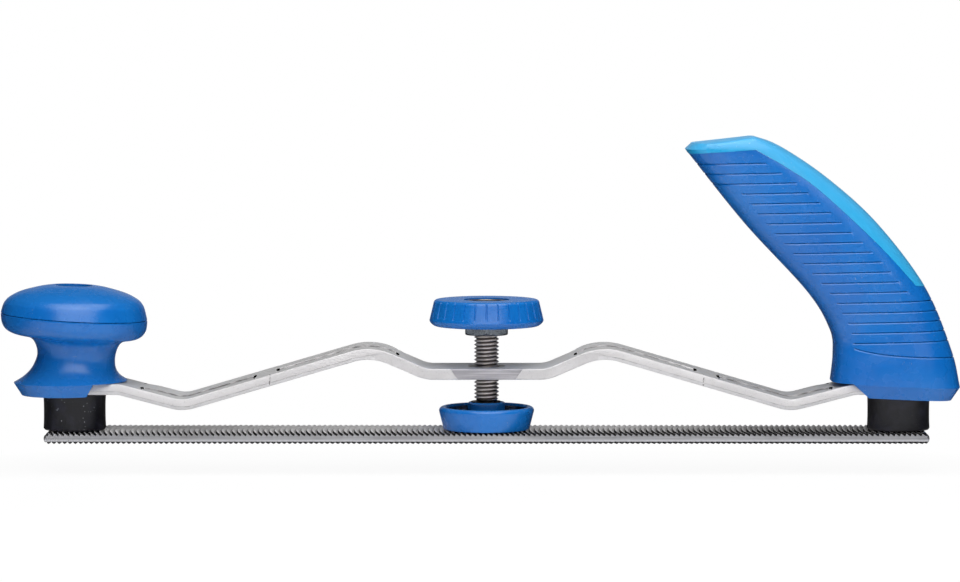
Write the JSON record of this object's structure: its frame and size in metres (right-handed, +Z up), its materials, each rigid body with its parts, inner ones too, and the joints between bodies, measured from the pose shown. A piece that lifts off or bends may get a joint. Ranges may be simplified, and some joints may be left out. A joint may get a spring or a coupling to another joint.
{
  "type": "body file",
  "caption": "Adjustable body file: flexible curved-tooth blade under a cast zigzag strap, with a palm knob, a pistol handle and a screw spindle that bows the blade.",
  "frame": {"origin": "centre of the bounding box in X and Y, on the plane of the lower tooth tips", "axes": "+X runs along the blade from the knob to the handle, +Y across the blade, +Z up through the spindle"},
  "size_m": [0.3812, 0.058, 0.1205],
  "materials": {
    "blue_plastic": "moulded, satin gloss",
    "light_blue_plastic": "moulded, satin gloss",
    "black_rubber": "matt, dusty",
    "cast_aluminium": "as cast, fine grain",
    "blade_steel": "milled teeth, ground edges",
    "spindle_steel": "rolled thread, oiled",
    "zinc_plate": "zinc plated",
    "brass": "turned",
    "black_steel": "blackened"
  },
  "bodies": {
    "holder": {"file_blade": "blade_steel", "front_buffer": "black_rubber", "rear_buffer": "black_rubber", "frame_strap": "cast_aluminium", "spindle_bush": "spindle_steel", "front_blade_screw": "black_steel", "rear_blade_screw": "black_steel", "knob_base": "blue_plastic", "knob_cap": "blue_plastic", "knob_insert": "brass", "knob_washer": "zinc_plate", "knob_screw": "zinc_plate", "handle_body": "blue_plastic", "handle_inlay": "light_blue_plastic", "handle_insert": "brass"},
    "foot": {"pressure_foot": "blue_plastic", "foot_insert": "brass", "thrust_washer": "spindle_steel", "retaining_ring": "black_steel", "foot_screw": "black_steel"},
    "spindle": {"spindle": "spindle_steel", "handwheel": "blue_plastic", "lock_nut": "zinc_plate", "wheel_nut": "spindle_steel"}
  },
  "joints": [
    {"name": "spindle_feed", "type": "slide", "parent": "holder", "child": "foot", "axis": [0, 0, 1], "range_m": [-0.012, 0.009], "deforming": ["file_blade"]},
    {"name": "spindle_turn", "type": "hinge", "parent": "foot", "child": "spindle", "pos_m": [0.0026, 0, 0.045], "axis": [0, 0, 1], "range_deg": [-2880, 2160]}
  ],
  "couplings": [
    {"joint": "spindle_feed", "follows": "spindle_turn", "m_per_rad": 0.00023873}
  ]
}
